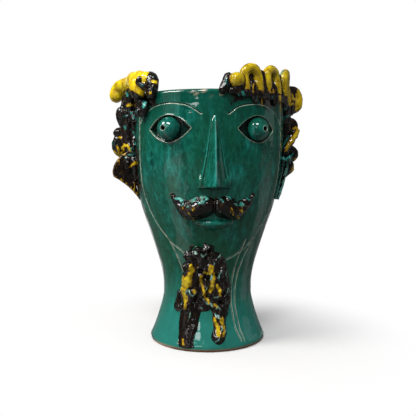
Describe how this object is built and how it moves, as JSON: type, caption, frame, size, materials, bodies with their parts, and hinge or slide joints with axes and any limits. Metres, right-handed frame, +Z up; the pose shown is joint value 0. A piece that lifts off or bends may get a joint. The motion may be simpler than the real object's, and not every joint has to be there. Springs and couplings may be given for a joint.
{
  "type": "head vase",
  "caption": "Glazed earthenware flower vase shaped as a bearded head, with a flared foot, an open crown and rolled-clay curls on the rim.",
  "frame": {"origin": "centre of the flat underside of the foot", "axes": "+Z up along the vessel's axis, the face looks along -Y, +X to a viewer's right who faces it"},
  "size_m": [0.2305, 0.1917, 0.3119],
  "materials": {
    "green_glaze": "glossy copper-green glaze over earthenware",
    "black_glaze": "glossy manganese black-brown glaze over earthenware",
    "yellow_glaze": "glossy yellow glaze over earthenware"
  },
  "bodies": {
    "root": {"beard_chin_tuft": "black_glaze", "beard_left_lock": "black_glaze", "beard_left_lump": "black_glaze", "beard_right_lock": "black_glaze", "beard_right_tip": "black_glaze", "ear_left": "black_glaze", "ear_right": "green_glaze", "eyeball_left": "green_glaze", "eyeball_right": "green_glaze", "hair_left_bed": "black_glaze", "hair_left_curl_1": "black_glaze", "hair_left_curl_2": "black_glaze", "hair_left_curl_3": "black_glaze", "hair_left_front_curl": "black_glaze", "hair_left_roll": "yellow_glaze", "hair_left_roll_end": "black_glaze", "hair_left_strand": "black_glaze", "hair_right_bar": "yellow_glaze", "hair_right_curl_1": "yellow_glaze", "hair_right_curl_2": "black_glaze", "hair_right_curl_3": "black_glaze", "hair_right_curl_4": "black_glaze", "hair_right_end": "yellow_glaze", "hair_right_loop_1": "yellow_glaze", "hair_right_loop_2": "yellow_glaze", "hair_right_loop_3": "yellow_glaze", "hair_right_strand": "black_glaze", "lower_lip": "green_glaze", "moustache_left": "black_glaze", "moustache_right": "black_glaze", "nose": "green_glaze", "vase_body": "green_glaze", "vase_foot": "green_glaze"}
  },
  "joints": []
}
